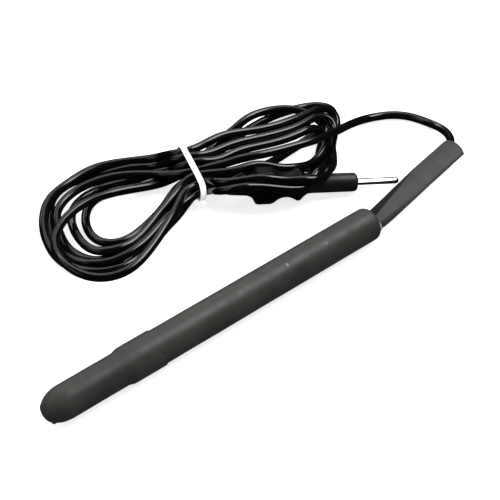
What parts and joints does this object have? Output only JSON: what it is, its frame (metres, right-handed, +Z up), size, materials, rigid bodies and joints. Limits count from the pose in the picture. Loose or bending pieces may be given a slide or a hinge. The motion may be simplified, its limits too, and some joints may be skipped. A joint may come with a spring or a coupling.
{
  "type": "soil moisture sensor",
  "caption": "Round insulated soil probe with a closed tip boot, on a tied hank of cord that ends in a single-pin plug.",
  "frame": {"origin": "on the probe's axis, in the middle of the raised band where the tip boot overlaps the main sleeve", "axes": "+X along the probe from its nose to its cable end, +Z up from the table that it lies on, +Y towards the hank"},
  "size_m": [0.2875, 0.142, 0.0236],
  "materials": {
    "shrink_sleeve": "satin heat-shrink polyolefin, dark grey, with fine scuffs",
    "flat_sleeve": "satin heat-shrink polyolefin, slightly cooler grey, flattened",
    "sealant": "set hot-melt sealant, milky",
    "white_plastic": "turned plastic, natural white",
    "electrode_brass": "drawn brass",
    "former_plastic": "grey plastic rod",
    "spring_bronze": "rolled phosphor bronze",
    "nickel": "bright nickel plate",
    "wire_insulation": "red PVC insulation",
    "cover_plastic": "thin black heat-shrink",
    "cord_pvc": "glossy black PVC cord jacket",
    "tie_nylon": "white plastic band",
    "core_copper": "bare stranded copper",
    "collar_plastic": "satin moulded plastic, brownish black",
    "grip_plastic": "matte moulded black plastic"
  },
  "bodies": {
    "root": {"main_sleeve": "shrink_sleeve", "tip_boot": "shrink_sleeve", "boot_adhesive": "sealant", "nose_plug": "white_plastic", "electrode_tube": "electrode_brass", "core_former": "former_plastic", "contact_spring": "spring_bronze", "contact_rivet": "nickel", "inner_wire": "wire_insulation", "rear_bush": "white_plastic", "splice_crimp": "nickel", "splice_cover": "cover_plastic", "cable_sleeve": "flat_sleeve", "root_adhesive": "sealant", "cord_lead": "cord_pvc", "cord_hank": "cord_pvc", "cord_folds": "cord_pvc", "cord_tail": "cord_pvc", "cord_tie": "tie_nylon", "plug_pin": "nickel", "plug_crimp": "electrode_brass", "plug_core": "core_copper", "plug_collar": "collar_plastic", "plug_grip": "grip_plastic"}
  },
  "joints": []
}
